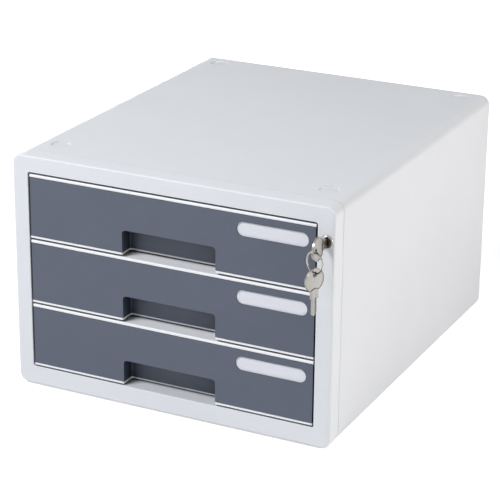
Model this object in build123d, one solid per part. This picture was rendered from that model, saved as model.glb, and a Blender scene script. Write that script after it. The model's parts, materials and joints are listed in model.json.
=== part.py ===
from build123d import *
import math
import os

# Desktop file drawer: a moulded casing with three trays that pull out on side
# guides, a lock with a rod that holds all the trays, and a ring with two keys.
# Working frame: x to the right, y back from the bezel face, z up from the
# underside of the casing. At the end every piece is moved so that the origin
# lies under the middle of the overall box, on the plane that the feet stand on.

# Casing
width = 280.0
depth = 332.0
height = 197.0
corner_r = 8.0
wall = 2.2
back_edge_r = 1.0

# Bezel: a hollow ring in front of the casing
bezel_depth = 16.4
bezel_face = 2.5
bezel_wall = 2.0
reveal_wall = 1.8
stile = 14.0
rail_bottom = 16.0
rail_top = 13.6
bezel_edge_r = 1.8
opening_edge_r = 0.5
opening_corner_r = 1.8
seam_width = 0.4
seam_depth = 0.6
tongue_w = 16.0
tongue_t = 2.0
tongue_reach = 9.0
tongue_gap = 0.1
# Places of the tongues, as shares of the width and of the height
tongue_share_x = 1 / 3
tongue_shares_z = [0.25, 0.6]

# Drawer fronts
drawer_names = ["bottom", "middle", "top"]
gap_under = 1.4
gap_between = 1.8
gap_over = 1.6
gap_side = 1.3
front_setback = 0.4
front_depth = 16.0
front_wall = 2.0
rim_t = 2.7
rim_edge_r = 1.1
floor_t = 1.7

# Grey front cover, held in the tray by four tongues
cover_t = 1.6
cover_rim = 1.6
cover_gap = 0.1
cover_edge_r = 0.4
pocket_w = 82.0
pocket_h = 20.7
pocket_depth = 12.6
pocket_wall = 1.3
pocket_corner_r = 3.0
pocket_back_r = 1.2
notch_back_r = 2.6
notch_depth = 13.8
notch_edge_r = 1.2
window_w = 60.0
window_h = 11.6
window_inset = 5.9
window_drop = 14.1
window_lip = 0.8
card_w = 68.0
card_h = 17.0
card_t = 0.6
clip_w = 8.0
clip_t = 1.6
clip_barb = 0.8
clip_past = 1.7
clip_side_inset = 13.5
clip_beside_pocket = 7.0
clip_inset = 9.0
clip_gap = 0.3

# Tray
side_drop = 7.1
side_t = 2.0
tray_inset = 6.5
tray_back_drop = 12.0
basin_corner_r = 5.0
basin_floor_r = 2.5
back_gap = 7.6
flange_t = 2.5
flange_gap = 1.0
lug_t = 2.5
lug_h = 8.0
lug_up = 20.0
ear_h = 3.5
ear_t = 4.0
ear_back = 2.0

# Guides
guide_t = 2.0
guide_clear = 2.7
guide_front_gap = 0.4
guide_back_gap = 4.0
guide_top_gap = 0.2
ledge_w = 5.0
ledge_t = 2.5
slide_gap = 0.3
rib_gap = 0.5
rib_len = 57.2
stop_gap = 0.5
standoff_r = 4.0
standoff_up = 45.0
fixing_inset = 43.2
fixing_count = 3
foot_flange_w = 8.0
foot_flange_t = 2.5

# Feet, and the dimples that take the feet of a second unit
foot_r = 6.8
foot_t = 2.2
foot_proud = 1.0
foot_edge_r = 0.5
foot_gap = 0.2
dimple_r = 8.0
dimple_depth = 1.2
foot_side_inset = 22.0
foot_front_y = 37.5
foot_back_inset = 16.0

# Screws
screw_head_r = 2.9
screw_head_h = 1.2
screw_shank_r = 1.4
screw_fit = 0.05
screw_clear = 0.3
# Cross slot and rounded edge of every screw, as shares of its head
slot_reach_share = 0.62
slot_half_share = 0.12
slot_depth_share = 0.55
head_edge_share = 1 / 3
guide_screw_len = 9.0
boss_r = 3.4
boss_h = 10.0
boss_roof = 0.4
panel_t = 2.2
panel_inset = 2.2
panel_gap = 0.3
back_screw_len = 9.0
back_boss_w = 10.3
back_boss_h = 9.8
back_boss_len = 12.0

# Lock
lock_inset = 6.3
lock_drop = 27.5
lock_flange_r = 5.5
lock_proud = 1.5
lock_edge_r = 0.75
barrel_r = 3.8
barrel_len = 20.0
barrel_hole_gap = 0.1
plug_r = 3.0
plug_fit = 0.06
plug_sink = 0.3
plug_end = 0.4
key_seat_gap = 0.1
tail_half = 1.8
keyway_gap_x = 0.2
keyway_gap_z = 0.15
clip_ring_r = 4.9
clip_ring_t = 1.0
clip_groove = 0.4
clip_mouth_deg = 130.0

# Crank on the plug, and the rod that it moves
crank_t = 2.3
crank_hub_r = 3.5
crank_r = 5.3
crank_arm_r = 2.3
crank_pin_r = 1.3
crank_pin_len = 3.2
crank_rest_deg = 135.0
crank_screw_head_r = 2.2
crank_screw_head_h = 1.2
crank_screw_r = 0.9
crank_screw_len = 6.0
rod_t = 2.0
rod_gap = 0.5
rod_side_gap = 0.4
rod_w = 6.6
rod_slot_play = 0.35
rod_slot_end = 0.4
rod_cap = 3.0
rod_foot = 6.9
hook_t = 5.0
hook_reach = 7.4
hook_free = 1.5
hook_gap = 0.4
window_margin = 0.6
bracket_h = 12.0
bracket_t = 1.9
bracket_count = 3
bracket_foot = 10.0
bracket_crank_gap = 6.0

# Keys and ring
bow_r = 9.25
key_t = 1.8
key_edge = 0.2
shoulder_w = 7.3
shoulder_len = 5.8
blade_w = 4.9
blade_t = 1.5
blade_len = 13.4
blade_tip = 1.6
groove_w = 1.4
groove_off = 1.05
groove_depth = 0.35
key_hole_r = 2.2
key_hole_inset = 4.8
ring_r = 8.3
ring_wire_r = 0.7
ring_turn_deg = -22.0
hang_drop = 0.75

# Places that follow from the sizes above
half_w = width / 2
open_half = half_w - stile
open_z0 = rail_bottom
open_z1 = height - rail_top
open_h = open_z1 - open_z0
open_mid = (open_z0 + open_z1) / 2
drawer_count = len(drawer_names)
front_h = (open_h - gap_under - gap_over - (drawer_count - 1) * gap_between) / drawer_count
front_half = open_half - gap_side
front_y1 = front_setback + front_depth
wall_y0 = front_y1 - front_wall
drawer_z = [open_z0 + gap_under + i * (front_h + gap_between) for i in range(drawer_count)]

inner_half = half_w - wall
panel_y0 = depth - panel_inset - panel_t
guide_in = front_half - guide_clear
guide_out = guide_in + guide_t
guide_y0 = front_y1 + guide_front_gap
guide_y1 = panel_y0 - guide_back_gap
ledge_in = guide_in - ledge_w
tray_out = guide_in - tray_inset
tray_in = tray_out - side_t
flange_out = guide_in - flange_gap
tray_y1 = panel_y0 - back_gap
side_h = front_h - side_drop
flange_up = side_h - flange_t
ledge_up = flange_up - slide_gap - ledge_t
rib_up = side_h + rib_gap
rib_y1 = guide_y0 + rib_len
ear_y0 = tray_y1 - ear_back - ear_t
travel = ear_y0 - stop_gap - rib_y1
window_x = front_half - window_inset - window_w / 2
clip_low_x = tray_in - clip_side_inset
clip_high_x = pocket_w / 2 + clip_beside_pocket
foot_x = half_w - foot_side_inset

lock_x = half_w - lock_inset
lock_z = height - lock_drop
plug_y0 = plug_sink - lock_proud
plug_y1 = barrel_len + plug_end
crank_y1 = plug_y1 + crank_t
rod_y0 = crank_y1 + rod_gap
rod_y1 = rod_y0 + rod_t
rod_x0 = guide_out + rod_side_gap
rod_x1 = rod_x0 + rod_w
pin_up = crank_r * math.sin(math.radians(crank_rest_deg))
pin_left = crank_r * math.cos(math.radians(crank_rest_deg))
rod_lift = 2 * pin_up
slot_half = crank_pin_r + rod_slot_play
slot_z = lock_z + pin_up
hook_up = lug_up + lug_h + hook_free
rod_z0 = drawer_z[0] + hook_up - rod_foot
lug_y0 = rod_y1 + hook_gap

key_y = -lock_proud - key_seat_gap - shoulder_len - bow_r
key_hole_y = key_y - bow_r + key_hole_inset
ring_top_z = lock_z - hang_drop
ring_z = ring_top_z - ring_r
spare_hole_z = ring_z - ring_r - hang_drop
ring_turn = math.radians(ring_turn_deg)
front_reach = bow_r * math.cos(ring_turn) + key_t / 2 * abs(math.sin(ring_turn)) - key_hole_y

origin_shift = (0, -(depth - front_reach) / 2, foot_proud)


def spread(first, last, count):
    return [first + (last - first) * i / (count - 1) for i in range(count)]


def block(x0, x1, y0, y1, z0, z1):
    middle = ((x0 + x1) / 2, (y0 + y1) / 2, (z0 + z1) / 2)
    return Pos(*middle) * Box(abs(x1 - x0), abs(y1 - y0), abs(z1 - z0))


def front_view(x, y, z):
    # A plane at depth y, seen from the front: its own x is x, its own y is z.
    return Plane(origin=(x, y, z), x_dir=(1, 0, 0), z_dir=(0, -1, 0))


def slab(outline, x, z, y0, y1):
    return extrude(front_view(x, y1, z) * outline, amount=y1 - y0)


def bar_y(x, z, r, y0, y1):
    return slab(Circle(r), x, z, y0, y1)


def post(x, y, r, z0, z1):
    return Pos(x, y, (z0 + z1) / 2) * Cylinder(r, z1 - z0)


def bar_x(y, z, r, x0, x1):
    return Pos((x0 + x1) / 2, y, z) * Rot(0, 90, 0) * Cylinder(r, x1 - x0)


def both_sides(solid):
    return solid + mirror(solid, about=Plane.YZ)


def casing_outline(inset):
    return RectangleRounded(width - 2 * inset, height - 2 * inset, corner_r - inset)


def front_edges(solid, y):
    return solid.edges().filter_by(lambda e: abs(e.bounding_box().max.Y - y) < 0.01)


def back_edges(solid, y):
    return solid.edges().filter_by(lambda e: abs(e.bounding_box().min.Y - y) < 0.01)


def make_bezel():
    mid_z = height / 2
    ring = slab(casing_outline(0), 0, mid_z, 0, bezel_depth)
    ring = fillet(front_edges(ring, 0), bezel_edge_r)
    opening = RectangleRounded(2 * open_half, open_h, opening_corner_r)
    ring -= slab(opening, 0, open_mid, -1, bezel_depth + 1)
    rim = [
        e for e in front_edges(ring, 0)
        if abs(e.center().X) < open_half + 0.1 and open_z0 - 0.1 < e.center().Z < open_z1 + 0.1
    ]
    ring = fillet(rim, opening_edge_r)
    sleeve_r = opening_corner_r + reveal_wall
    sleeve = RectangleRounded(2 * (open_half + reveal_wall), open_h + 2 * reveal_wall, sleeve_r)
    hollow = slab(casing_outline(bezel_wall), 0, mid_z, bezel_face, bezel_depth + 1)
    hollow -= slab(sleeve, 0, open_mid, bezel_face, bezel_depth + 1)
    ring -= hollow
    seam = slab(casing_outline(-1), 0, mid_z, bezel_depth - seam_width, bezel_depth + 1)
    seam -= slab(casing_outline(seam_depth), 0, mid_z, bezel_depth - seam_width, bezel_depth + 1)
    ring -= seam
    ring -= bar_y(lock_x, lock_z, barrel_r + barrel_hole_gap, -1, bezel_face + 1)
    return ring + make_tongues()


def make_tongues():
    # Flat tongues behind the ring that slip inside the casing walls.
    edge = wall + tongue_gap
    y_end = bezel_depth + tongue_reach
    tongues = Part()
    for x in (-width * tongue_share_x, 0, width * tongue_share_x):
        x0, x1 = x - tongue_w / 2, x + tongue_w / 2
        tongues += block(x0, x1, bezel_face, bezel_depth, bezel_wall, edge + tongue_t)
        tongues += block(x0, x1, bezel_depth, y_end, edge, edge + tongue_t)
        top = height - edge
        tongues += block(x0, x1, bezel_face, bezel_depth, top - tongue_t, height - bezel_wall)
        tongues += block(x0, x1, bezel_depth, y_end, top - tongue_t, top)
    side = Part()
    for share in tongue_shares_z:
        z0, z1 = height * share - tongue_w / 2, height * share + tongue_w / 2
        x1 = half_w - edge
        side += block(x1 - tongue_t, half_w - bezel_wall, bezel_face, bezel_depth, z0, z1)
        side += block(x1 - tongue_t, x1, bezel_depth, y_end, z0, z1)
    return tongues + both_sides(side)


def foot_places():
    for side, x in (("left", -foot_x), ("right", foot_x)):
        yield "foot_front_" + side, x, foot_front_y
        yield "foot_back_" + side, x, depth - foot_back_inset


def fixing_places():
    return spread(guide_y0 + fixing_inset, guide_y1 - fixing_inset, fixing_count)


def guide_screw_places():
    x = guide_out + foot_flange_w / 2
    return [(s * x, y) for s in (-1, 1) for y in fixing_places()]


def back_screw_places():
    x = inner_half - back_boss_w / 2
    z0 = wall + back_boss_h / 2
    return [(s * x, z) for s in (-1, 1) for z in (z0, height - z0)]


def make_shell():
    mid_z = height / 2
    shell = slab(casing_outline(0), 0, mid_z, bezel_depth, depth)
    shell = fillet(back_edges(shell, depth), back_edge_r)
    inside = slab(casing_outline(wall), 0, mid_z, bezel_depth - 1, depth + 1)
    shell -= inside
    boss_y0 = panel_y0 - back_boss_len
    for x, z in back_screw_places():
        boss = block(x - back_boss_w / 2, x + back_boss_w / 2, boss_y0, panel_y0,
                     z - back_boss_h / 2, z + back_boss_h / 2)
        shell += boss & slab(casing_outline(wall), 0, mid_z, boss_y0, panel_y0)
        shell -= bar_y(x, z, screw_shank_r + screw_fit, panel_y0 - back_screw_len, depth)
    for name, x, y in foot_places():
        shell -= post(x, y, dimple_r, height - dimple_depth, height + 1)
        shell -= post(x, y, foot_r + foot_gap, -1, foot_t - foot_proud)
    for x, y in guide_screw_places():
        shell -= post(x, y, screw_shank_r + screw_clear, -1, wall + 1)
        shell -= post(x, y, screw_head_r + screw_clear, -1, screw_head_h)
    return shell


def make_back_panel():
    outline = RectangleRounded(2 * (inner_half - panel_gap), height - 2 * (wall + panel_gap),
                               corner_r - wall - panel_gap)
    panel = slab(outline, 0, height / 2, panel_y0, panel_y0 + panel_t)
    for x, z in back_screw_places():
        panel -= bar_y(x, z, screw_shank_r + screw_clear, panel_y0 - 1, depth)
    return panel


def make_foot(x, y):
    foot = post(x, y, foot_r, -foot_proud, foot_t - foot_proud)
    return fillet(foot.edges().group_by(Axis.Z)[0], foot_edge_r)


def screw(head_r, head_h, shank_r, length):
    # Stands on its head: the head from 0 up to head_h, the shank above it.
    body = post(0, 0, head_r, 0, head_h)
    body = fillet(body.edges().group_by(Axis.Z)[0], head_h * head_edge_share)
    arm = head_r * slot_reach_share
    half = head_r * slot_half_share
    for turn in (0, 90):
        body -= Rot(0, 0, turn) * block(-arm, arm, -half, half, -1, head_h * slot_depth_share)
    return body + post(0, 0, shank_r, head_h, head_h + length)


def make_guide_screws():
    one = screw(screw_head_r, screw_head_h, screw_shank_r, guide_screw_len)
    return Compound([Pos(x, y, 0) * one for x, y in guide_screw_places()])


def make_back_screws():
    one = screw(screw_head_r, screw_head_h, screw_shank_r, back_screw_len)
    y = panel_y0 + panel_t + screw_head_h
    return Compound([Pos(x, y, z) * Rot(90, 0, 0) * one for x, z in back_screw_places()])


def make_guide(with_rod):
    # The right-hand guide: a plate with ledges inside and standoffs to the wall.
    guide = block(guide_in, guide_out, guide_y0, guide_y1, wall, height - wall - guide_top_gap)
    for z in drawer_z:
        guide += block(ledge_in, guide_in, guide_y0, guide_y1, z + ledge_up, z + ledge_up + ledge_t)
        guide += block(ledge_in, guide_in, guide_y0, rib_y1, z + rib_up, z + rib_up + ledge_t)
    flange_y1 = panel_y0 - back_boss_len - panel_gap
    guide += block(guide_out, guide_out + foot_flange_w, guide_y0 + tongue_reach, flange_y1,
                   wall, wall + foot_flange_t)
    for x, y in guide_screw_places():
        if x > 0:
            guide += post(x, y, boss_r, wall, wall + boss_h)
            guide -= post(x, y, screw_shank_r + screw_fit, 0, wall + boss_h - boss_roof)
    for y in fixing_places():
        for z in (standoff_up, height - standoff_up):
            guide += bar_x(y, z, standoff_r, guide_out, inner_half)
            guide -= bar_x(y, z, standoff_r / 2, guide_in - 1, inner_half - wall)
    if with_rod:
        guide += make_brackets()
        for z in drawer_z:
            z0 = z + hook_up - rod_lift - window_margin
            z1 = z + hook_up + hook_t + window_margin
            guide -= block(guide_in - 1, guide_out + 0.1, rod_y0 - window_margin,
                           rod_y1 + window_margin, z0, z1)
    return guide


def make_brackets():
    # Three bridges over the lock rod, which slides up and down behind them.
    brackets = Part()
    y0, y1 = rod_y0 - rod_side_gap, rod_y1 + rod_side_gap
    x1 = rod_x1 + rod_side_gap
    low = rod_z0 + bracket_foot + bracket_h / 2
    high = lock_z - crank_r - crank_arm_r - bracket_crank_gap - bracket_h / 2
    for z in spread(low, high, bracket_count):
        z0, z1 = z - bracket_h / 2, z + bracket_h / 2
        bridge = block(guide_out, x1 + bracket_t, y0 - bracket_t, y1 + bracket_t, z0, z1)
        brackets += bridge - block(guide_out, x1, y0, y1, z0, z1)
    return brackets


def make_lip(z):
    # The floor's front edge, set back round the finger pocket.
    lip = block(-front_half, front_half, front_setback, front_y1, z, z + floor_t)
    notch = RectangleRounded(pocket_w, 2 * notch_depth, notch_back_r)
    lip -= Pos(0, front_setback, z - 1) * extrude(notch, floor_t + 2)
    corners = [
        e for e in lip.edges().filter_by(Axis.Z)
        if abs(e.center().Y - front_setback) < 0.01 and abs(e.center().X) < front_half - 1
    ]
    return fillet(corners, notch_edge_r)


def make_basin(z):
    basin = block(-tray_out, tray_out, wall_y0, tray_y1, z, z + side_h)
    inner_y1 = tray_y1 - side_t
    plan = RectangleRounded(2 * tray_in, inner_y1 - front_y1, basin_corner_r)
    hollow = Pos(0, (front_y1 + inner_y1) / 2, z + floor_t) * extrude(plan, side_h)
    hollow = fillet(hollow.edges().group_by(Axis.Z)[0], basin_floor_r)
    basin -= hollow
    half = tray_in - 2 * basin_corner_r
    dip_z = z + side_h - tray_back_drop
    dip = block(-half, half, inner_y1 - 1, tray_y1 + 1, dip_z, z + side_h + 1)
    return basin - dip


def make_tray(z):
    top = z + front_h
    tray = block(-front_half, front_half, front_setback, front_y1, top - rim_t, top)
    nose = [e for e in tray.edges() if e.bounding_box().max.Y < front_setback + 0.01
            and e.length > front_half]
    tray = fillet(nose, rim_edge_r)
    tray += make_lip(z)
    tray += block(-front_half, front_half, wall_y0, front_y1, z, top)
    tray += make_basin(z)
    side = block(tray_out, flange_out, front_y1, tray_y1, z + flange_up, z + side_h)
    side += block(tray_out, flange_out, ear_y0, ear_y0 + ear_t, z + side_h, z + side_h + ear_h)
    tray += both_sides(side)
    lug_z = z + lug_up
    tray += block(tray_out, flange_out, lug_y0, lug_y0 + lug_t, lug_z, lug_z + lug_h)
    for x, cz in clip_places(z):
        gap_z = clip_gap + clip_barb
        tray -= block(x - clip_w / 2 - clip_gap, x + clip_w / 2 + clip_gap, wall_y0 - 0.1,
                      front_y1 + 0.1, cz - clip_gap, cz + clip_t + gap_z)
    return tray


def clip_places(z):
    low = z + floor_t + clip_inset
    high = z + front_h - rim_t - clip_inset
    return [(s * x, cz) for s in (-1, 1) for x, cz in ((clip_low_x, low), (clip_high_x, high))]


def pocket_outline(grow):
    # The lower half hangs below the drawer, so only the top corners are round.
    return RectangleRounded(pocket_w + 2 * grow, 2 * (pocket_h + grow), pocket_corner_r + grow)


def make_cover(z):
    z0 = z + floor_t + cover_gap
    z1 = z + front_h - rim_t - cover_gap
    mid = (z0 + z1) / 2
    y0 = front_setback
    back = y0 + cover_t
    cover = block(-front_half, front_half, y0, wall_y0, z0, z1)
    cover = fillet(front_edges(cover, y0), cover_edge_r)
    cover -= block(-front_half + cover_rim, front_half - cover_rim, back, wall_y0 + 1,
                   z0 + cover_rim, z1 - cover_rim)
    pocket_y1 = y0 + pocket_depth
    around = slab(pocket_outline(pocket_wall), 0, z, back, pocket_y1 + pocket_wall)
    around = fillet(back_edges(around, pocket_y1 + pocket_wall), pocket_back_r + pocket_wall)
    cover += around & block(-front_half, front_half, y0, wall_y0, z0, mid + pocket_h)
    pocket = slab(pocket_outline(0), 0, z, y0 - 1, pocket_y1)
    cover -= fillet(back_edges(pocket, pocket_y1), pocket_back_r)
    window_z = z + front_h - window_drop
    cover -= slab(SlotOverall(window_w, window_h), window_x, window_z, y0 - 1, back + 1)
    # The card lies in a recess behind the window, open to the right for putting it in.
    seat_half = card_h / 2 + cover_gap
    cover -= block(window_x - card_w / 2 - cover_gap, front_half - cover_rim, y0 + window_lip,
                   back + 1, window_z - seat_half, window_z + seat_half)
    for s in (-1, 1):
        # Two channels hold the card's long edges.
        edge = window_z + s * seat_half
        lip = window_z + s * (card_h / 2 - cover_rim)
        far = edge + s * cover_rim
        x0, x1 = window_x - card_w / 2, front_half - cover_rim
        y_card = y0 + window_lip + card_t + cover_gap
        cover += block(x0, x1, back, y_card + cover_rim, min(edge, far), max(edge, far))
        cover += block(x0, x1, y_card, y_card + cover_rim, min(lip, far), max(lip, far))
    y_end = front_y1 + clip_past
    for x, cz in clip_places(z):
        x0, x1 = x - clip_w / 2, x + clip_w / 2
        cover += block(x0, x1, back, y_end, cz, cz + clip_t)
        cover += block(x0, x1, front_y1 + cover_gap, y_end, cz, cz + clip_t + clip_barb)
    return cover


def make_card(z):
    y0 = front_setback + window_lip
    window_z = z + front_h - window_drop
    return block(window_x - card_w / 2, window_x + card_w / 2, y0, y0 + card_t,
                 window_z - card_h / 2, window_z + card_h / 2)


def make_housing():
    flange = bar_y(lock_x, lock_z, lock_flange_r, -lock_proud, 0)
    flange = fillet(front_edges(flange, -lock_proud), lock_edge_r)
    body = flange + bar_y(lock_x, lock_z, barrel_r, 0, barrel_len)
    groove = bar_y(lock_x, lock_z, barrel_r + 1, bezel_face, bezel_face + clip_ring_t)
    groove -= bar_y(lock_x, lock_z, barrel_r - clip_groove, bezel_face, bezel_face + clip_ring_t)
    body -= groove
    return body - bar_y(lock_x, lock_z, plug_r + plug_fit, -lock_proud - 1, barrel_len + 1)


def make_lock_clip():
    # A horseshoe in the barrel's groove, open towards the outer wall.
    y1 = bezel_face + clip_ring_t
    ring = bar_y(lock_x, lock_z, clip_ring_r, bezel_face, y1)
    ring -= bar_y(lock_x, lock_z, barrel_r - clip_groove + screw_fit, bezel_face, y1)
    half = math.radians(clip_mouth_deg / 2)
    reach = 2 * clip_ring_r
    side = reach * math.tan(half)
    mouth = Polygon((0, 0), (reach, -side), (reach, side), align=None)
    return ring - slab(mouth, lock_x, lock_z, bezel_face, y1)


def make_plug():
    plug = bar_y(lock_x, lock_z, plug_r, plug_y0, plug_y1)
    tail_y1 = crank_y1 - plug_fit
    plug += block(lock_x - tail_half, lock_x + tail_half, plug_y1, tail_y1,
                  lock_z - tail_half, lock_z + tail_half)
    half_x = blade_t / 2 + keyway_gap_x
    half_z = blade_w / 2 + keyway_gap_z
    slot_y1 = blade_len - lock_proud - key_seat_gap + keyway_gap_x
    plug -= block(lock_x - half_x, lock_x + half_x, plug_y0 - 1, slot_y1,
                  lock_z - half_z, lock_z + half_z)
    hole_y0 = crank_y1 - crank_screw_len - keyway_gap_x
    return plug - bar_y(lock_x, lock_z, crank_screw_r + screw_fit, hole_y0, crank_y1)


def make_crank():
    hub = Circle(crank_hub_r)
    arm = Rot(0, 0, crank_rest_deg) * (
        Pos(crank_r / 2, 0) * Rectangle(crank_r, 2 * crank_arm_r)
    )
    eye = Pos(pin_left, pin_up) * Circle(crank_arm_r)
    hole_half = tail_half + screw_fit
    crank = slab(hub + arm + eye, lock_x, lock_z, plug_y1, crank_y1)
    crank -= block(lock_x - hole_half, lock_x + hole_half, plug_y1 - 1, crank_y1 + 1,
                   lock_z - hole_half, lock_z + hole_half)
    pin_y1 = crank_y1 + crank_pin_len
    return crank + bar_y(lock_x + pin_left, slot_z, crank_pin_r, crank_y1, pin_y1)


def make_crank_screw():
    one = screw(crank_screw_head_r, crank_screw_head_h, crank_screw_r, crank_screw_len)
    return Pos(lock_x, crank_y1 + crank_screw_head_h, lock_z) * Rot(90, 0, 0) * one


def make_lock_rod():
    rod = block(rod_x0, rod_x1, rod_y0, rod_y1, rod_z0, slot_z + slot_half + rod_cap)
    slot_x0 = lock_x - crank_r - crank_pin_r - rod_slot_end
    rod -= block(slot_x0, rod_x1 + 1, rod_y0 - 1, rod_y1 + 1, slot_z - slot_half, slot_z + slot_half)
    for z in drawer_z:
        rod += block(rod_x0 - hook_reach, rod_x0, rod_y0, rod_y1, z + hook_up, z + hook_up + hook_t)
    return rod


def make_key():
    # Lies in its own xy plane: bow round the origin, blade along +x, plate along z.
    neck_x = bow_r + shoulder_len
    blade_x = neck_x + blade_len
    outline = Circle(bow_r) + Pos(neck_x / 2, 0) * Rectangle(neck_x, shoulder_w)
    plate = extrude(outline, amount=key_t / 2, both=True)
    plate -= Pos(key_hole_inset - bow_r, 0, 0) * Cylinder(key_hole_r, 2 * key_t)
    plate = chamfer(plate.edges().group_by(Axis.Z)[0] + plate.edges().group_by(Axis.Z)[-1], key_edge)
    half = blade_w / 2
    blade_outline = Polygon((neck_x - 1, -half), (blade_x - blade_tip, -half),
                            (blade_x, -half + blade_tip), (blade_x - blade_tip, half),
                            (neck_x - 1, half), align=None)
    blade = extrude(blade_outline, amount=blade_t / 2, both=True)
    for s in (-1, 1):
        y = s * groove_off
        z = s * blade_t / 2
        blade -= block(neck_x, blade_x + 1, y - groove_w / 2, y + groove_w / 2,
                       z - groove_depth, z + groove_depth)
    return plate + blade


def make_key_in_lock():
    # Upright in the lock, its plate facing sideways, its blade pointing back.
    return Pos(lock_x, key_y, lock_z) * Rot(0, 90, 0) * Rot(0, 0, 90) * make_key()


def make_ring():
    path = Pos(lock_x, key_hole_y, ring_z) * Rot(0, 0, ring_turn_deg) * Rot(90, 0, 0)
    return path * Torus(ring_r, ring_wire_r)


def make_spare_key():
    # Hangs blade down from the foot of the ring, square to it.
    bow_z = spare_hole_z - bow_r + key_hole_inset
    place = Pos(lock_x, key_hole_y, bow_z) * Rot(0, 0, ring_turn_deg)
    return place * Rot(0, 90, 0) * make_key()


pieces = {
    "casing_shell": make_shell(),
    "front_bezel": make_bezel(),
    "back_panel": make_back_panel(),
    "right_guide": make_guide(True),
    "left_guide": mirror(make_guide(False), about=Plane.YZ),
    "guide_screws": make_guide_screws(),
    "back_screws": make_back_screws(),
    "lock_housing": make_housing(),
    "lock_clip": make_lock_clip(),
    "lock_plug": make_plug(),
    "lock_crank": make_crank(),
    "crank_screw": make_crank_screw(),
    "lock_rod": make_lock_rod(),
    "key": make_key_in_lock(),
    "key_ring": make_ring(),
    "spare_key": make_spare_key(),
}
for name, x, y in foot_places():
    pieces[name] = make_foot(x, y)
for name, z in zip(drawer_names, drawer_z):
    pieces["tray_" + name] = make_tray(z)
    pieces["front_cover_" + name] = make_cover(z)
    pieces["label_card_" + name] = make_card(z)

os.makedirs("parts", exist_ok=True)
for name, piece in pieces.items():
    export_step(Pos(*origin_shift) * piece, "parts/" + name + ".step")
print("travel", travel, "rod lift", round(rod_lift, 3), "reach", round(front_reach, 2))
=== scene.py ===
import json
import math
import bmesh
import bpy
from mathutils import Matrix, Vector


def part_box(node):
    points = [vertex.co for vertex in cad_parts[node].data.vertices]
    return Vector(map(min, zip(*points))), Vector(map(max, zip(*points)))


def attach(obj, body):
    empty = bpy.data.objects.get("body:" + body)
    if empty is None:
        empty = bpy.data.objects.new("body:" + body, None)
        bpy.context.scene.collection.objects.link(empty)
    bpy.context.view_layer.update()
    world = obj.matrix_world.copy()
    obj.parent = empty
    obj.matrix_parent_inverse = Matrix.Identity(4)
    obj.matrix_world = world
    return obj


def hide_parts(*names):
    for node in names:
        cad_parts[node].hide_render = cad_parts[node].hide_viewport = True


# Desktop file drawer: pale casing, three white trays with slate fronts, a lock with two keys

mm = 0.001


# Shader helpers

shaderDetail = {"edgeSamples": 6, "openSamples": 8, "gloss": 0.5}


def paint(red, green, blue):
    # 0-255 screen colour to the linear values that shaders take
    steps = [v / 255 for v in (red, green, blue)]
    return [v / 12.92 if v < 0.04045 else ((v + 0.055) / 1.055) ** 2.4 for v in steps] + [1.0]


def shaded(colour, factor):
    return [c * factor for c in colour[:3]] + [1.0]


def startMaterial(name):
    material = bpy.data.materials.new(name)
    material.use_nodes = True
    tree = material.node_tree
    return material, tree, tree.nodes["Principled BSDF"]


def addNode(tree, kind, **inputs):
    node = tree.nodes.new(kind)
    for key, value in inputs.items():
        node.inputs[key].default_value = value
    return node


def objectPlace(tree, stretch=(1, 1, 1)):
    place = tree.nodes.new("ShaderNodeTexCoord").outputs["Object"]
    if tuple(stretch) == (1, 1, 1):
        return place
    mapping = tree.nodes.new("ShaderNodeMapping")
    mapping.inputs["Scale"].default_value = stretch
    tree.links.new(place, mapping.inputs["Vector"])
    return mapping.outputs["Vector"]


def noiseField(tree, place, scale, detail, roughness=0.5):
    noise = addNode(tree, "ShaderNodeTexNoise", Scale=scale, Detail=detail, Roughness=roughness)
    tree.links.new(place, noise.inputs["Vector"])
    return noise.outputs["Fac"]


def ramp(tree, source, low, high, spread):
    # one colour up to the start of the spread, the other from its end
    node = tree.nodes.new("ShaderNodeValToRGB")
    for element, place, colour in zip(node.color_ramp.elements, spread, (low, high)):
        element.position = place
        element.color = colour
    tree.links.new(source, node.inputs["Fac"])
    return node.outputs["Color"]


def greyRamp(tree, source, low, high, spread=(0.3, 0.7)):
    return ramp(tree, source, [low] * 3 + [1.0], [high] * 3 + [1.0], spread)


def roundEdges(tree, radius):
    bevel = addNode(tree, "ShaderNodeBevel", Radius=radius)
    bevel.samples = shaderDetail["edgeSamples"]
    return bevel.outputs["Normal"]


def paintShadeInside(tree, shader, colour, reach, spread, dark):
    # painted shade: darkens the colour and lowers the gloss where ambient occlusion finds the
    # surface deep inside a recess, crevice or gap
    openness = addNode(tree, "ShaderNodeAmbientOcclusion", Distance=reach)
    openness.samples = shaderDetail["openSamples"]
    factor = greyRamp(tree, openness.outputs["AO"], dark, 1.0, spread)
    full = shaderDetail["gloss"]
    gloss = greyRamp(tree, openness.outputs["AO"], dark * full, full, spread)
    tree.links.new(gloss, shader.inputs["Specular IOR Level"])
    mix = tree.nodes.new("ShaderNodeMix")
    mix.data_type = "RGBA"
    mix.blend_type = "MULTIPLY"
    mix.inputs["Factor"].default_value = 1.0
    tree.links.new(colour, mix.inputs[6])  # inputs 6 and 7 and output 2 carry colour
    tree.links.new(factor, mix.inputs[7])
    return mix.outputs[2]


def bumpFrom(tree, height, distance, under=None):
    bump = addNode(tree, "ShaderNodeBump", Strength=1.0, Distance=distance)
    tree.links.new(height, bump.inputs["Height"])
    if under is not None:
        tree.links.new(under, bump.inputs["Normal"])
    return bump.outputs["Normal"]


# Plastics: a colour that drifts a little, fine tool texture, softened edges that catch the light,
# and painted shade in the recesses and gaps of the bezel, trays and drawer fronts

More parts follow.
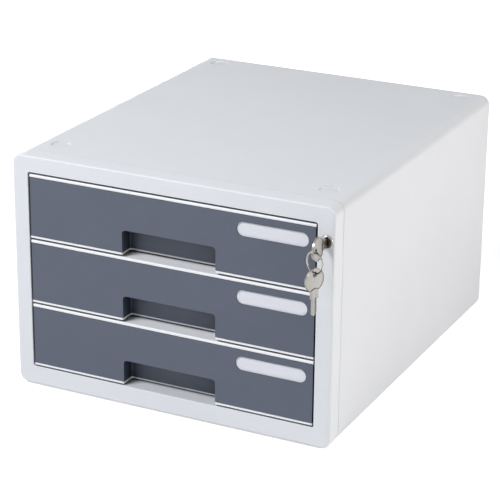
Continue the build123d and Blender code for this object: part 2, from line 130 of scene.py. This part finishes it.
plasticFinishes = {
    "casing_plastic": {
        "colour": paint(224, 226, 230), "drift": 0.015, "rough": (0.46, 0.56),
        "grainScale": 2600, "grainDeep": 0.018 * mm, "edge": 0.25 * mm,
    },
    "bezel_plastic": {
        "colour": paint(225, 227, 231), "drift": 0.012, "rough": (0.4, 0.5),
        "grainScale": 3200, "grainDeep": 0.012 * mm, "edge": 0.25 * mm,
        # painted shade in recesses and gaps
        "paintedShade": {"reach": 5 * mm, "spread": (0.1, 0.5), "dark": 0.25},
    },
    "guide_plastic": {
        "colour": paint(212, 214, 219), "drift": 0.03, "rough": (0.42, 0.55),
        "grainScale": 1800, "grainDeep": 0.02 * mm, "edge": 0.25 * mm,
    },
    "tray_plastic": {
        "colour": paint(239, 240, 243), "drift": 0.008, "rough": (0.33, 0.36),
        "grainScale": 2400, "grainDeep": 0.004 * mm, "edge": 0.3 * mm,
        # painted shade in the gaps between drawers and under the lips
        "paintedShade": {"reach": 5 * mm, "spread": (0.1, 0.5), "dark": 0.25},
    },
    "cover_plastic": {
        "colour": paint(82, 89, 104), "drift": 0.05, "rough": (0.44, 0.54),
        "grainScale": 3000, "grainDeep": 0.02 * mm, "edge": 0.2 * mm,
        # painted shade, dark and far-reaching, in the handle pockets and other recesses
        "paintedShade": {"reach": 30 * mm, "spread": (0.2, 0.75), "dark": 0.12},
    },
    "foot_rubber": {
        "colour": paint(92, 92, 95), "drift": 0.12, "rough": (0.72, 0.85),
        "grainScale": 2200, "grainDeep": 0.04 * mm, "edge": 0.2 * mm,
    },
}

plasticPattern = {"cloudScale": 16, "cloudSpread": (0.3, 0.7), "wearScale": 60, "ior": 1.48}


def plastic(name):
    finish = plasticFinishes[name]
    pattern = plasticPattern
    material, tree, shader = startMaterial(name)
    place = objectPlace(tree)
    cloud = noiseField(tree, place, pattern["cloudScale"], detail=3)
    base = finish["colour"]
    darker = shaded(base, 1 - finish["drift"])
    colour = ramp(tree, cloud, darker, base, pattern["cloudSpread"])
    # painted shade in recesses and gaps, for the finishes that have it
    if "paintedShade" in finish:
        colour = paintShadeInside(tree, shader, colour, **finish["paintedShade"])
    tree.links.new(colour, shader.inputs["Base Color"])
    low, high = finish["rough"]
    wear = noiseField(tree, place, pattern["wearScale"], detail=4, roughness=0.6)
    tree.links.new(greyRamp(tree, wear, low, high), shader.inputs["Roughness"])
    grain = noiseField(tree, place, finish["grainScale"], detail=2, roughness=0.6)
    edge = roundEdges(tree, finish["edge"])
    normal = bumpFrom(tree, grain, finish["grainDeep"], under=edge)
    tree.links.new(normal, shader.inputs["Normal"])
    shader.inputs["IOR"].default_value = pattern["ior"]
    return material


# Card: matt paper with faint fibres

cardFinish = {
    "colour": paint(229, 230, 237), "tint": 0.96, "rough": 0.82, "stretch": (0.25, 1, 1),
    "fibreScale": 900, "fibreSpread": (0.25, 0.75), "fibreDeep": 0.01 * mm,
}


def cardPaper():
    finish = cardFinish
    material, tree, shader = startMaterial("label_card")
    place = objectPlace(tree, finish["stretch"])
    fibre = noiseField(tree, place, finish["fibreScale"], detail=4, roughness=0.7)
    base = finish["colour"]
    colour = ramp(tree, fibre, shaded(base, finish["tint"]), base, finish["fibreSpread"])
    tree.links.new(colour, shader.inputs["Base Color"])
    tree.links.new(bumpFrom(tree, fibre, finish["fibreDeep"]), shader.inputs["Normal"])
    shader.inputs["Roughness"].default_value = finish["rough"]
    return material


# Metals: brushed or polished, with fine scratches, darker patches, and painted shade in their
# crevices

metalFinishes = {
    "lock_chrome": {
        "colour": paint(188, 187, 185), "tint": 0.9, "rough": (0.05, 0.14),
        "scratch": (1, 1, 1), "scratchScale": 900, "scratchDeep": 0.002 * mm,
        "edge": 0.12 * mm,
    },
    "plug_metal": {
        "colour": paint(132, 114, 82), "tint": 0.5, "rough": (0.22, 0.4),
        "scratch": (1, 1, 1), "scratchScale": 1500, "scratchDeep": 0.006 * mm,
        "edge": 0.1 * mm,
    },
    "key_nickel": {
        "colour": paint(154, 151, 147), "tint": 0.84, "rough": (0.2, 0.36),
        "scratch": (1, 1, 0.15), "scratchScale": 2400, "scratchDeep": 0.006 * mm,
        "edge": 0.1 * mm,
    },
    "ring_chrome": {
        "colour": paint(168, 164, 159), "tint": 0.8, "rough": (0.08, 0.18),
        "scratch": (1, 1, 1), "scratchScale": 1600, "scratchDeep": 0.003 * mm,
        "edge": 0.05 * mm,
    },
    "screw_steel": {
        "colour": paint(196, 197, 200), "tint": 0.85, "rough": (0.24, 0.4),
        "scratch": (1, 1, 1), "scratchScale": 1400, "scratchDeep": 0.006 * mm,
        "edge": 0.1 * mm,
    },
    "zinc_steel": {
        "colour": paint(190, 193, 198), "tint": 0.8, "rough": (0.3, 0.46),
        "scratch": (0.3, 1, 0.12), "scratchScale": 1200, "scratchDeep": 0.01 * mm,
        "edge": 0.15 * mm,
    },
}

metalPattern = {
    "patchScale": 220, "patchSpread": (0.3, 0.65),
    # painted shade in the small crevices of every metal
    "paintedShade": {"reach": 1.6 * mm, "spread": (0.35, 0.92), "dark": 0.22},
}


def metal(name):
    finish = metalFinishes[name]
    pattern = metalPattern
    material, tree, shader = startMaterial(name)
    place = objectPlace(tree, finish["scratch"])
    patches = noiseField(tree, place, pattern["patchScale"], detail=4, roughness=0.6)
    base = finish["colour"]
    colour = ramp(tree, patches, shaded(base, finish["tint"]), base, pattern["patchSpread"])
    # painted shade in crevices
    colour = paintShadeInside(tree, shader, colour, **pattern["paintedShade"])
    tree.links.new(colour, shader.inputs["Base Color"])
    scratches = noiseField(tree, place, finish["scratchScale"], detail=3, roughness=0.7)
    low, high = finish["rough"]
    tree.links.new(greyRamp(tree, scratches, low, high), shader.inputs["Roughness"])
    edge = roundEdges(tree, finish["edge"])
    normal = bumpFrom(tree, scratches, finish["scratchDeep"], under=edge)
    tree.links.new(normal, shader.inputs["Normal"])
    shader.inputs["Metallic"].default_value = 1.0
    return material


def makeMaterials():
    made = {name: plastic(name) for name in plasticFinishes}
    made.update({name: metal(name) for name in metalFinishes})
    made["label_card"] = cardPaper()
    return made


def dressNodes(frame, materials):
    for part in frame["record"]["subparts"]:
        node = frame["nodes"][part["node"]]
        node.data.materials.clear()
        node.data.materials.append(materials[part["material_slot"]])


# Mesh helpers: shapes are drawn in millimetres and shrunk to metres as they are placed

smoothAngle = 40  # degrees; edges that turn more stay sharp


def arc(centre, radius, start, end, count):
    # points of an arc from start to end degrees
    turns = [math.radians(start + (end - start) * i / count) for i in range(count + 1)]
    return [(centre[0] + radius * math.cos(t), centre[1] + radius * math.sin(t)) for t in turns]


def plate(outline, low, high):
    # a closed solid with this outline, from z=low to z=high
    shape = bmesh.new()
    corners = [shape.verts.new((x, y, low)) for x, y in outline]
    face = shape.faces.new(corners)
    grown = bmesh.ops.extrude_face_region(shape, geom=[face])
    lifted = [g for g in grown["geom"] if isinstance(g, bmesh.types.BMVert)]
    bmesh.ops.translate(shape, verts=lifted, vec=(0, 0, high - low))
    bmesh.ops.recalc_face_normals(shape, faces=shape.faces)
    return shape


def meshObject(name, shape):
    mesh = bpy.data.meshes.new(name)
    shape.to_mesh(mesh)
    shape.free()
    thing = bpy.data.objects.new(name, mesh)
    bpy.context.scene.collection.objects.link(thing)
    return thing


def applyModifiers(thing):
    graph = bpy.context.evaluated_depsgraph_get()
    graph.update()
    mesh = bpy.data.meshes.new_from_object(thing.evaluated_get(graph))
    thing.modifiers.clear()
    thing.data = mesh


def cut(thing, shapes):
    for shape in shapes:
        tool = meshObject("cutter", shape)
        modifier = thing.modifiers.new("cut", "BOOLEAN")
        modifier.operation = "DIFFERENCE"
        modifier.solver = "EXACT"
        modifier.object = tool
        applyModifiers(thing)
        bpy.data.objects.remove(tool)


def softenEdges(thing, width, segments=3, angle=35):
    modifier = thing.modifiers.new("soften", "BEVEL")
    modifier.width = width
    modifier.segments = segments
    modifier.limit_method = "ANGLE"
    modifier.angle_limit = math.radians(angle)
    applyModifiers(thing)


def settle(thing, place, material, body, replaced):
    thing.data.transform(place @ Matrix.Scale(mm, 4))
    thing.data.materials.clear()
    thing.data.materials.append(material)
    for face in thing.data.polygons:
        face.use_smooth = True
    thing.data.set_sharp_from_angle(angle=math.radians(smoothAngle))
    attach(thing, body)
    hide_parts(replaced)


# Keys: a coined bow with an arc line over the neck, a stepped neck and a blade milled both sides

keyShape = {
    "bowR": 9.25, "thick": 1.8, "soft": 0.42, "bowSteps": 72,
    "neckHalf": 3.65, "neckLen": 5.8, "neckFillet": 1.1, "filletSteps": 6, "neckChamfer": 0.5,
    "stopBack": 0.9, "stopAhead": 0.6,
    "bladeHalf": 2.45, "bladeThick": 1.5, "bladeLen": 13.4,
    "tipLen": 2.2, "tipOff": 0.75, "tipShare": 0.6, "noseBack": 0.2, "noseTall": 0.6,
    "holeR": 2.2, "holeInset": 4.8, "holeCorners": 24,
    "coinR": 8.45, "coinDeep": 0.22, "coinSteps": 66,
    "collarAt": 12.3, "collarR": 6.0, "collarSteps": 12,
    "lineWide": 0.55, "lineDeep": 0.45, "lineSteps": 14,
    "grooveFrom": 0.4, "grooveTo": 1.1, "grooveDeep": 0.4, "grooveBack": 1.2,
}

cutterOver = 1  # how far a cutting shape stands out of what it cuts
cutterHalf = 9  # half the width of the shape that thins the blade


def keyOutline():
    # bow round the origin, neck and blade along +x
    key = keyShape
    side = key["neckHalf"] + key["neckFillet"]
    around = key["bowR"] + key["neckFillet"]
    meet = math.degrees(math.asin(side / around))
    reach = around * math.cos(math.radians(meet))
    neckEnd = key["bowR"] + key["neckLen"]
    tip = neckEnd + key["bladeLen"]
    points = arc((0, 0), key["bowR"], meet, 360 - meet, key["bowSteps"])
    points += arc((reach, -side), key["neckFillet"], 180 - meet, 90, key["filletSteps"])
    points += [
        (neckEnd - key["neckChamfer"], -key["neckHalf"]),
        (neckEnd, -key["neckHalf"] + key["neckChamfer"]),
        (neckEnd, -key["bladeHalf"]),
        (tip - key["tipLen"] * key["tipShare"], -key["bladeHalf"]),
        (tip, -key["tipOff"]),
        (tip - key["noseBack"], -key["tipOff"] + key["noseTall"]),
        (tip - key["tipLen"], key["bladeHalf"]),
        (neckEnd + key["stopAhead"], key["bladeHalf"]),
        (neckEnd - key["stopBack"], key["neckHalf"]),
    ]
    points += arc((reach, side), key["neckFillet"], 270, 180 + meet, key["filletSteps"])
    return points


def coinOutlines():
    # the sunk face of the bow, which ends at the collar, and the arc line just inside the collar
    key = keyShape
    collar = (key["collarAt"], 0)
    meetX = (key["coinR"] ** 2 - key["collarR"] ** 2 + key["collarAt"] ** 2) / (2 * key["collarAt"])
    meet = math.degrees(math.acos(meetX / key["coinR"]))
    side = math.degrees(math.acos((meetX - key["collarAt"]) / key["collarR"]))
    coin = arc((0, 0), key["coinR"], meet, 360 - meet, key["coinSteps"])
    coin += arc(collar, key["collarR"], 360 - side, side, key["collarSteps"])[1:-1]
    low, high = 180 - side / 2, 180 + side / 2
    line = arc(collar, key["collarR"], high, low, key["lineSteps"])
    line += arc(collar, key["collarR"] - key["lineWide"], low, high, key["lineSteps"])
    return coin, line


def keyMesh(name):
    key = keyShape
    half = key["thick"] / 2
    top = half + cutterOver
    blank = meshObject(name, plate(keyOutline(), -half, half))
    neckEnd = key["bowR"] + key["neckLen"]
    far = neckEnd + key["bladeLen"] + 2 * cutterOver
    thin = (key["thick"] - key["bladeThick"]) / 2
    blade = [(neckEnd, -cutterHalf), (far, -cutterHalf), (far, cutterHalf), (neckEnd, cutterHalf)]
    holeAt = (key["holeInset"] - key["bowR"], 0)
    corners = key["holeCorners"]
    hole = arc(holeAt, key["holeR"], 0, 360 - 360 / corners, corners - 1)
    cut(blank, [
        plate(blade, half - thin, top), plate(blade, -top, -half + thin),
        plate(hole, -top, top),
    ])
    softenEdges(blank, key["soft"])
    coin, line = coinOutlines()
    near = neckEnd - key["grooveBack"]
    left, right = key["grooveFrom"], key["grooveTo"]
    groove = [(near, left), (far, left), (far, right), (near, right)]
    low = half - thin - key["grooveDeep"]
    milled = [(x, -y) for x, y in groove][::-1]
    coinLow = half - key["coinDeep"]
    lineLow = half - key["lineDeep"]
    cut(blank, [
        plate(coin, coinLow, top), plate(coin, -top, -half + key["coinDeep"]),
        plate(groove, low, top), plate(milled, -top, -low),
        plate(line, lineLow, top), plate(line, -top, -half + key["lineDeep"]),
    ])
    return blank


# Split ring: two turns of flattened wire side by side, with the step where they change places

ringShape = {
    "radius": 8.3, "wireWide": 0.64, "wireTall": 1.15, "flat": 0.7, "turnGap": 0.04,
    "turns": 2, "stepTurn": 38, "perTurn": 96, "sides": 10,
}


def squashed(value):
    # pushes a cosine or sine outwards, for a section flatter than an ellipse
    return math.copysign(abs(value) ** ringShape["flat"], value)


def closeTube(shape, hoops, ends):
    # skins the tube from hoop to hoop, with its two ends closed or joined
    count = len(hoops[0])
    pairs = list(zip(hoops, hoops[1:]))
    if not ends:
        pairs.append((hoops[-1], hoops[0]))
    for one, two in pairs:
        for i in range(count):
            after = (i + 1) % count
            shape.faces.new((one[i], one[after], two[after], two[i]))
    if ends:
        shape.faces.new(hoops[0])
        shape.faces.new(hoops[-1][::-1])
    bmesh.ops.recalc_face_normals(shape, faces=shape.faces)


def ringMesh(name):
    # lies in the xy plane, axis along z
    ring = ringShape
    shape = bmesh.new()
    total = 360 * ring["turns"] - ring["stepTurn"]
    count = int(ring["perTurn"] * total / 360)
    hoops = []
    for i in range(count + 1):
        turn = total * i / count
        climb = min(max((turn - 360 + ring["stepTurn"]) / ring["stepTurn"], 0), 1)
        climb = climb * climb * (3 - 2 * climb)  # eases in and out
        lift = (climb - 0.5) * (ring["wireWide"] + ring["turnGap"])
        out = Vector((math.cos(math.radians(turn)), math.sin(math.radians(turn)), 0))
        hoop = []
        for j in range(ring["sides"]):
            a = 2 * math.pi * (j + 0.5) / ring["sides"]
            wide = squashed(math.cos(a)) * ring["wireTall"] / 2
            tall = squashed(math.sin(a)) * ring["wireWide"] / 2
            place = out * (ring["radius"] + wide) + Vector((0, 0, lift + tall))
            hoop.append(shape.verts.new(place))
        hoops.append(hoop)
    closeTube(shape, hoops, ends=True)
    return meshObject(name, shape)


def middleOf(node):
    low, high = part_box(node)
    return (low + high) / 2


def turned(degrees, axis):
    return Matrix.Rotation(math.radians(degrees), 4, axis)


hangTurn = -22  # degrees that the ring and the spare key are turned about the vertical


def hangKeys(materials):
    nickel = materials["key_nickel"]
    bowReach = keyShape["bowR"] * mm
    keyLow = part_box("key")[0]
    bow = Vector((middleOf("key").x, keyLow.y + bowReach, middleOf("key").z))
    upright = Matrix.Translation(bow) @ turned(90, "Y") @ turned(90, "Z")
    settle(keyMesh("keyInLock"), upright, nickel, "key", "key")
    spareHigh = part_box("spare_key")[1]
    spareBow = Vector((*middleOf("spare_key").xy, spareHigh.z - bowReach))
    hanging = Matrix.Translation(spareBow) @ turned(hangTurn, "Z") @ turned(90, "Y")
    settle(keyMesh("spareKey"), hanging, nickel, "spare_key", "spare_key")
    chrome = materials["ring_chrome"]
    threaded = Matrix.Translation(middleOf("key_ring")) @ turned(hangTurn, "Z") @ turned(90, "X")
    settle(ringMesh("splitRing"), threaded, chrome, "key_ring", "key_ring")


# Lock: a rounded chrome flange with a bead and a dished face, on a barrel with the clip's groove

lockShape = {
    "flangeR": 5.5, "proud": 1.5, "rimR": 0.7, "rimSteps": 8,
    "bead": 4.75, "beadStep": 0.2, "beadDrop": 0.06,
    "dishIn": 3.55, "dishDeep": 0.55, "dishOut": 0.1, "dishUp": 0.04, "dishBack": 0.05,
    "barrelR": 3.8, "boreR": 3.06, "length": 20.0, "grooveR": 3.4, "grooveAt": (2.5, 3.5),
    "turns": 72,
}


def lathe(name, profile, turns):
    # spins (radius, height) points round the z axis, closed on itself
    shape = bmesh.new()
    hoops = []
    for i in range(turns):
        a = 2 * math.pi * i / turns
        hoops.append([shape.verts.new((r * math.cos(a), r * math.sin(a), h)) for r, h in profile])
    closeTube(shape, hoops, ends=False)
    return meshObject(name, shape)


def lockBody(name):
    # height runs outwards, 0 at the bezel's face
    lock = lockShape
    face = lock["proud"]
    dish = face - lock["dishDeep"]
    low, high = lock["grooveAt"]
    rimMiddle = (lock["flangeR"] - lock["rimR"], face - lock["rimR"])
    profile = [(lock["flangeR"], 0)]
    profile += arc(rimMiddle, lock["rimR"], 0, 90, lock["rimSteps"])
    profile += [
        (lock["bead"], face),
        (lock["bead"] - lock["beadStep"], face - lock["beadDrop"]),
        (lock["dishIn"] + lock["dishOut"], dish + lock["dishUp"]),
        (lock["dishIn"] - lock["dishBack"], dish),
        (lock["boreR"], dish),
        (lock["boreR"], -lock["length"]),
        (lock["barrelR"], -lock["length"]),
        (lock["barrelR"], -high),
        (lock["grooveR"], -high),
        (lock["grooveR"], -low),
        (lock["barrelR"], -low),
        (lock["barrelR"], 0),
    ]
    return lathe(name, profile, lock["turns"])


def fitLock(materials):
    chrome = materials["lock_chrome"]
    low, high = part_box("lock_housing")
    face = Vector(((low.x + high.x) / 2, low.y + lockShape["proud"] * mm, (low.z + high.z) / 2))
    outwards = Matrix.Translation(face) @ turned(90, "X")
    settle(lockBody("lockBody"), outwards, chrome, "casing", "lock_housing")


# Camera, floor and light

cameraPlace = {
    "spot": (0.67805, -1.38889, 0.67587), "turn": 26.14, "down": 20.76, "roll": 0.59,
    "lens": 140.75, "film": 36,
}


def placeCamera():
    place = cameraPlace
    camera = bpy.data.objects.new("camera", bpy.data.cameras.new("camera"))
    bpy.context.scene.collection.objects.link(camera)
    camera.data.lens = place["lens"]
    camera.data.sensor_width = place["film"]
    turn = turned(place["turn"], "Z")
    tilt = turned(90 - place["down"], "X")
    roll = turned(place["roll"], "Z")
    camera.matrix_world = Matrix.Translation(place["spot"]) @ turn @ tilt @ roll
    bpy.context.scene.camera = camera


# The floor's glow rises from "lift" at the near distance to pure white at the far one, in metres
floorFinish = {
    "colour": paint(244, 244, 245), "rough": 0.9, "gloss": 0.1, "size": 14,
    "lift": 0.6, "near": 0.45, "far": 0.95,
}


def seenRay(tree):
    # 1 for camera, glossy and transmission rays, 0 for the light that falls on things
    path = tree.nodes.new("ShaderNodeLightPath")
    total = path.outputs["Is Camera Ray"]
    for name in ("Is Glossy Ray", "Is Transmission Ray"):
        add = tree.nodes.new("ShaderNodeMath")
        add.operation = "MAXIMUM"
        tree.links.new(total, add.inputs[0])
        tree.links.new(path.outputs[name], add.inputs[1])
        total = add.outputs[0]
    return total


def sheetMesh(name, size):
    # a flat square in the xy plane
    shape = bmesh.new()
    bmesh.ops.create_grid(shape, x_segments=1, y_segments=1, size=size / 2)
    return meshObject(name, shape)


def layFloor():
    finish = floorFinish
    floor = sheetMesh("floor", finish["size"])
    material, tree, shader = startMaterial("floor")
    shader.inputs["Base Color"].default_value = finish["colour"]
    shader.inputs["Roughness"].default_value = finish["rough"]
    shader.inputs["Specular IOR Level"].default_value = finish["gloss"]
    away = tree.nodes.new("ShaderNodeVectorMath")
    away.operation = "LENGTH"
    tree.links.new(objectPlace(tree), away.inputs[0])
    distance = away.outputs["Value"]
    lift = greyRamp(tree, distance, finish["lift"], 1.0, (finish["near"], finish["far"]))
    glow = addNode(tree, "ShaderNodeEmission", Strength=1.0)
    tree.links.new(lift, glow.inputs["Color"])
    both = tree.nodes.new("ShaderNodeAddShader")
    tree.links.new(shader.outputs["BSDF"], both.inputs[0])
    tree.links.new(glow.outputs["Emission"], both.inputs[1])
    mix = tree.nodes.new("ShaderNodeMixShader")
    tree.links.new(seenRay(tree), mix.inputs["Fac"])
    tree.links.new(shader.outputs["BSDF"], mix.inputs[1])
    tree.links.new(both.outputs["Shader"], mix.inputs[2])
    output = tree.nodes["Material Output"]
    tree.links.new(mix.outputs["Shader"], output.inputs["Surface"])
    floor.data.materials.append(material)


skyLight = {"colour": (0.92, 0.97, 1.0, 1.0), "strength": 0.2}

# Soft boxes: where each stands, what it looks at, its width and height, its watts and its colour
softBoxes = {
    "keyLeft": {
        "spot": (-0.7, -1.15, 1.52), "aim": (0, -0.1, 0.1), "size": (0.8, 0.4),
        "watts": 28.4, "colour": (0.955, 0.963, 0.98),
    },
    "rightSide": {
        "spot": (1.25, 0.02, 0.52), "aim": (0.14, -0.02, 0.09), "size": (0.3, 0.5),
        "watts": 7.3, "colour": (1.0, 0.955, 0.905),
    },
    "glowRight": {
        "spot": (0.34, -0.01, 0.006), "aim": (0.14, -0.01, 0.06), "size": (0.5, 0.1),
        "watts": 0.06, "colour": (1.0, 0.98, 0.96),
    },
    "glowFront": {
        "spot": (0, -0.42, 0.006), "aim": (0, -0.15, 0.06), "size": (0.4, 0.1),
        "watts": 0.045, "colour": (1.0, 0.98, 0.96),
    },
    "behind": {
        "spot": (-1.3, 1.7, 0.18), "aim": (0, 0.17, 0.1), "size": (1.0, 0.2),
        "watts": 14, "colour": (1.0, 1.0, 1.0),
    },
}

# Dark sheets that only reflections show, beside and below the lock
darkSheets = {
    "rightCard": {"spot": (0.23, -0.27, 0.14), "aim": (0.134, -0.155, 0.17), "size": (0.14, 0.16)},
    "lowCard": {"spot": (0.09, -0.3, 0.08), "aim": (0.134, -0.155, 0.17), "size": (0.05, 0.05)},
}
darkFinish = {"colour": paint(22, 22, 24), "rough": 0.9}


def aimed(spot, aim):
    turn = (Vector(aim) - Vector(spot)).to_track_quat("-Z", "Y")
    return Matrix.Translation(spot) @ turn.to_matrix().to_4x4()


def hangDarkSheets():
    material, _, shader = startMaterial("darkCard")
    shader.inputs["Base Color"].default_value = darkFinish["colour"]
    shader.inputs["Roughness"].default_value = darkFinish["rough"]
    for name, sheet in darkSheets.items():
        thing = sheetMesh(name, 1)
        stretch = Matrix.Diagonal((*sheet["size"], 1, 1))
        thing.matrix_world = aimed(sheet["spot"], sheet["aim"]) @ stretch
        thing.data.materials.append(material)
        thing.visible_camera = False
        thing.visible_diffuse = False
        thing.visible_shadow = False


def lightScene():
    world = bpy.data.worlds.new("world")
    bpy.context.scene.world = world
    world.use_nodes = True
    tree = world.node_tree
    sky = tree.nodes["Background"]
    sky.inputs["Color"].default_value = skyLight["colour"]
    sky.inputs["Strength"].default_value = skyLight["strength"]
    white = addNode(tree, "ShaderNodeBackground", Color=(1, 1, 1, 1), Strength=1.0)
    mix = tree.nodes.new("ShaderNodeMixShader")
    tree.links.new(seenRay(tree), mix.inputs["Fac"])
    tree.links.new(sky.outputs["Background"], mix.inputs[1])
    tree.links.new(white.outputs["Background"], mix.inputs[2])
    tree.links.new(mix.outputs["Shader"], tree.nodes["World Output"].inputs["Surface"])
    for name, box in softBoxes.items():
        lamp = bpy.data.lights.new(name, "AREA")
        lamp.shape = "RECTANGLE"
        lamp.size, lamp.size_y = box["size"]
        lamp.energy = box["watts"]
        lamp.color = box["colour"]
        thing = bpy.data.objects.new(name, lamp)
        bpy.context.scene.collection.objects.link(thing)
        thing.matrix_world = aimed(box["spot"], box["aim"])
        thing.visible_camera = False


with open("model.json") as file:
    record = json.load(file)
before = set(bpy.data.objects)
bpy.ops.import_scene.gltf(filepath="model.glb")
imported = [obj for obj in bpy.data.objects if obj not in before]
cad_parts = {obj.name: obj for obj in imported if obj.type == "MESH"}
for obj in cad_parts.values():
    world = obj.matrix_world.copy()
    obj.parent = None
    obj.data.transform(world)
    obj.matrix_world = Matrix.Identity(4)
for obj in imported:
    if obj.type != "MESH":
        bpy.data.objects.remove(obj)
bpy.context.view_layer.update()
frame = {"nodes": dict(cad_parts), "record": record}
print("frame loaded:", len(frame["nodes"]), "nodes")
materials = makeMaterials()
dressNodes(frame, materials)
print("materials on the moulded and metal parts")
hangKeys(materials)
print("keys and split ring made")
fitLock(materials)
print("lock made")
placeCamera()
layFloor()
lightScene()
hangDarkSheets()
bpy.context.scene.view_settings.view_transform = "Standard"
print("camera, floor and light placed")
